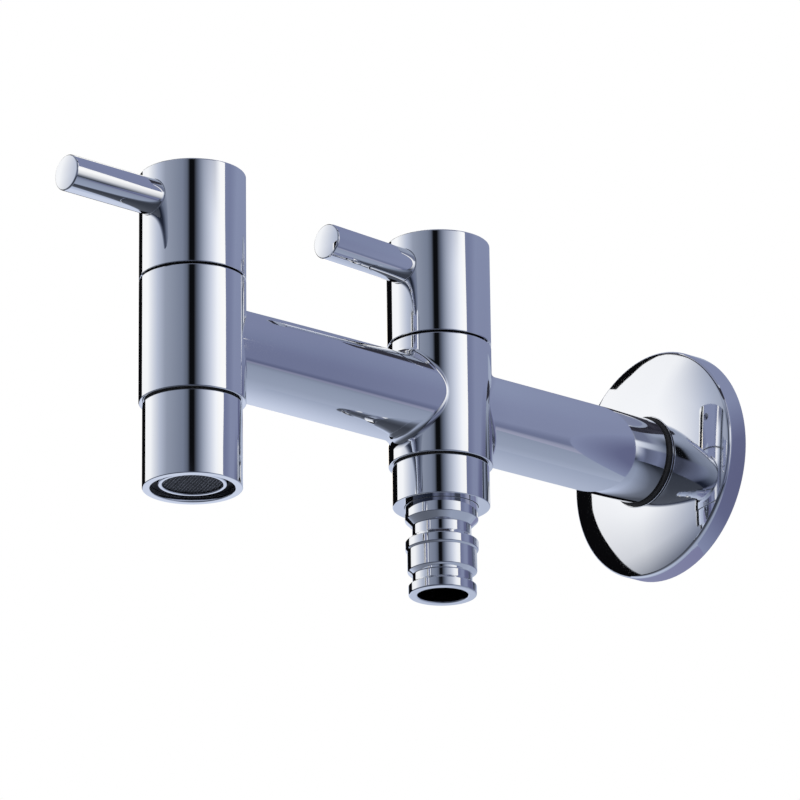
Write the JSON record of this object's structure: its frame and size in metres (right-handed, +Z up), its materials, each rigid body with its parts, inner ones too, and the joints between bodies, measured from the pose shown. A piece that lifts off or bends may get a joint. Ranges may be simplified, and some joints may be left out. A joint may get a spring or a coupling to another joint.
{
  "type": "wall tap",
  "caption": "Chromed wall tap: one threaded inlet, a pipe with two upright valves, an aerated spout in front and a push-on hose nozzle behind it, each with its own lever.",
  "frame": {"origin": "on the pipe's axis in the plane of the wall, which is the back rim of the cover plate", "axes": "+Y into the wall along the inlet thread, so the tap stands out along -Y; +Z up along the two columns; +X to the right of someone who faces the wall"},
  "size_m": [0.0684, 0.2369, 0.1061],
  "materials": {
    "chrome_plate": "mirror-polished chrome plate on brass",
    "rosette_plate": "mirror-polished pressed steel",
    "bright_ring": "polished",
    "screen_mesh": "fine woven wire",
    "screw_steel": "plain",
    "headwork_brass": "turned",
    "rubber": "matt",
    "aerator_plastic": "satin black",
    "insert_plastic": "natural",
    "ceramic": "lapped ceramic"
  },
  "bodies": {
    "root": {"valve_body": "chrome_plate", "wall_rosette": "rosette_plate", "rosette_seal_ring": "rubber", "spout_gasket": "rubber", "spout_sleeve": "chrome_plate", "aerator_washer": "rubber", "aerator_housing": "aerator_plastic", "aerator_ring": "bright_ring", "aerator_screen": "screen_mesh", "aerator_insert": "insert_plastic", "collar_gasket": "rubber", "hose_collar": "chrome_plate", "nozzle_washer": "rubber", "hose_nozzle": "chrome_plate", "front_cartridge_housing": "headwork_brass", "front_housing_gasket": "rubber", "front_thrust_washer": "insert_plastic", "front_fixed_disc": "ceramic", "front_seat_seal": "rubber", "middle_cartridge_housing": "headwork_brass", "middle_housing_gasket": "rubber", "middle_thrust_washer": "insert_plastic", "middle_fixed_disc": "ceramic", "middle_seat_seal": "rubber"},
    "front_lever": {"front_lever_cap": "chrome_plate", "front_lever_rod": "chrome_plate", "front_grub_screw": "screw_steel", "front_spindle": "headwork_brass", "front_spindle_seal": "rubber", "front_spindle_clip": "screw_steel", "front_turning_disc": "ceramic"},
    "middle_lever": {"middle_lever_cap": "chrome_plate", "middle_lever_rod": "chrome_plate", "middle_grub_screw": "screw_steel", "middle_spindle": "headwork_brass", "middle_spindle_seal": "rubber", "middle_spindle_clip": "screw_steel", "middle_turning_disc": "ceramic"}
  },
  "joints": [
    {"name": "front_lever_turn", "type": "hinge", "parent": "root", "child": "front_lever", "pos_m": [0, -0.1777, 0.034], "axis": [0, 0, 1], "range_deg": [0, 90]},
    {"name": "middle_lever_turn", "type": "hinge", "parent": "root", "child": "middle_lever", "pos_m": [0, -0.088, 0.034], "axis": [0, 0, 1], "range_deg": [0, 90]}
  ]
}
